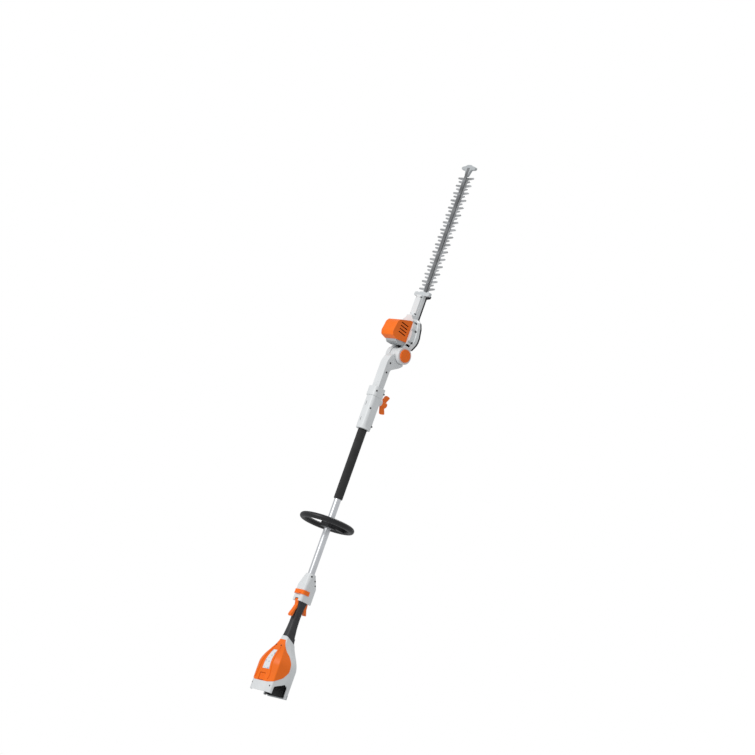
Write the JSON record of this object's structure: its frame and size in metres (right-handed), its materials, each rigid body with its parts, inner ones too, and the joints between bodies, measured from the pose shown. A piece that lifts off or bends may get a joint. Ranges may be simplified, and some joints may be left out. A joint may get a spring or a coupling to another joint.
{
  "type": "hedge trimmer",
  "caption": "Long-reach battery hedge trimmer with a rear housing and grip on a tube, a loop handle, a foam sleeve, a clamp coupling and a tilting head with double-sided blades",
  "frame": {"origin": "on the shaft axis, in the plane of the rear end face", "axes": "+Z along the shaft towards the blade tip, +X along the tilt pivot towards its release button, -Y towards the upper side of the tool"},
  "size_m": [0.2069, 0.2069, 2.113],
  "materials": {
    "white_plastic": "fine-textured light grey moulded plastic",
    "orange_plastic": "satin orange moulded plastic",
    "black_plastic": "textured black moulded plastic",
    "grey_plastic": "light grey moulded plastic",
    "grip_rubber": "soft black rubber",
    "tube_aluminium": "satin drawn aluminium",
    "cast_alloy": "machined alloy",
    "blade_steel": "ground blade steel",
    "dark_steel": "blackened steel",
    "screw_steel": "zinc-plated steel",
    "contact_brass": "plain brass",
    "board_green": "coated circuit board"
  },
  "bodies": {
    "frame": {"rear_housing_left": "white_plastic", "rear_housing_right": "white_plastic", "top_cover": "orange_plastic", "rear_foot": "grey_plastic", "bay_liner": "black_plastic", "contact_block": "black_plastic", "contact_blades": "contact_brass", "control_board": "board_green", "hinge_pins": "screw_steel", "cover_screws": "screw_steel", "rear_grip": "grip_rubber", "control_housing_left": "white_plastic", "control_housing_right": "white_plastic", "control_screws": "screw_steel", "switch_module": "black_plastic", "shaft_tube": "tube_aluminium", "foam_grip": "grip_rubber", "power_cable": "grip_rubber", "coupling_left": "white_plastic", "coupling_right": "white_plastic", "coupling_screws": "screw_steel", "threaded_insert": "contact_brass"},
    "latch": {"battery_latch": "orange_plastic"},
    "slider": {"unlock_slider": "orange_plastic"},
    "lever": {"ergo_lever": "orange_plastic"},
    "trigger_key": {"trigger": "orange_plastic"},
    "loop": {"loop_handle": "black_plastic", "loop_clamp_upper": "black_plastic", "loop_clamp_lower": "black_plastic", "clamp_screws": "screw_steel"},
    "wing": {"wing_knob": "orange_plastic", "wing_stud": "screw_steel"},
    "forearm": {"coupling_tongue": "cast_alloy", "forearm_left": "white_plastic", "forearm_right": "white_plastic", "forearm_screws": "screw_steel", "index_ring": "dark_steel"},
    "head": {"pivot_pin": "screw_steel", "gearbox_case": "white_plastic", "gearbox_plate": "black_plastic", "case_screws": "screw_steel", "base_guard": "white_plastic", "motor_cover": "orange_plastic", "vent_grille": "grey_plastic", "motor_can": "dark_steel", "motor_bearings": "screw_steel", "gear_axle": "screw_steel", "blade_bolts": "screw_steel", "blade_washers": "screw_steel", "tip_rivets": "screw_steel", "guide_rail": "dark_steel", "tip_guard": "grey_plastic"},
    "release": {"tilt_button": "orange_plastic"},
    "drive": {"drive_gear": "dark_steel", "eccentric_cams": "dark_steel"},
    "motor": {"motor_rotor": "dark_steel", "motor_pinion": "dark_steel", "cooling_fan": "black_plastic"},
    "blade_upper": {"upper_blade": "blade_steel"},
    "blade_lower": {"lower_blade": "blade_steel"}
  },
  "joints": [
    {"name": "latch_press", "type": "hinge", "parent": "frame", "child": "latch", "pos_m": [0, -0.0465, 0.062], "axis": [1, 0, 0], "range_deg": [0, 9], "stiffness_Nm_per_rad": 0.3},
    {"name": "slider_push", "type": "slide", "parent": "frame", "child": "slider", "axis": [0, 0, 1], "range_m": [0, 0.006], "stiffness_N_per_m": 200},
    {"name": "lever_press", "type": "hinge", "parent": "frame", "child": "lever", "pos_m": [0, -0.0175, 0.352], "axis": [1, 0, 0], "range_deg": [0, 5.5], "stiffness_Nm_per_rad": 1.5},
    {"name": "trigger_pull", "type": "hinge", "parent": "frame", "child": "trigger_key", "pos_m": [0, 0.0125, 0.3525], "axis": [1, 0, 0], "range_deg": [-10, 0], "stiffness_Nm_per_rad": 1.5},
    {"name": "loop_slide", "type": "slide", "parent": "frame", "child": "loop", "axis": [0, 0, 1], "range_m": [-0.17, 0.07]},
    {"name": "wing_turn", "type": "hinge", "parent": "frame", "child": "wing", "pos_m": [0, 0.038, 1.14], "axis": [0, 1, 0], "continuous": true},
    {"name": "forearm_pull", "type": "slide", "parent": "frame", "child": "forearm", "axis": [0, 0, 1], "range_m": [0, 0.08]},
    {"name": "head_tilt", "type": "hinge", "parent": "forearm", "child": "head", "pos_m": [0, 0.043, 1.332], "axis": [1, 0, 0], "range_deg": [-90, 45]},
    {"name": "button_press", "type": "slide", "parent": "head", "child": "release", "axis": [-1, 0, 0], "range_m": [0, 0.004], "stiffness_N_per_m": 400},
    {"name": "gear_spin", "type": "hinge", "parent": "head", "child": "drive", "pos_m": [0, 0.045, 1.3945], "axis": [0, 1, 0], "continuous": true},
    {"name": "motor_spin", "type": "hinge", "parent": "head", "child": "motor", "pos_m": [0, 0.03, 1.427], "axis": [0, 1, 0], "continuous": true},
    {"name": "upper_blade_slide", "type": "slide", "parent": "head", "child": "blade_upper", "axis": [0, 0, 1], "range_m": [-0.005, 0.005]},
    {"name": "lower_blade_slide", "type": "slide", "parent": "head", "child": "blade_lower", "axis": [0, 0, 1], "range_m": [-0.005, 0.005]}
  ],
  "couplings": [
    {"joint": "motor_spin", "follows": "gear_spin", "ratio": -3.3333},
    {"joint": "lower_blade_slide", "follows": "upper_blade_slide", "ratio": -1}
  ]
}
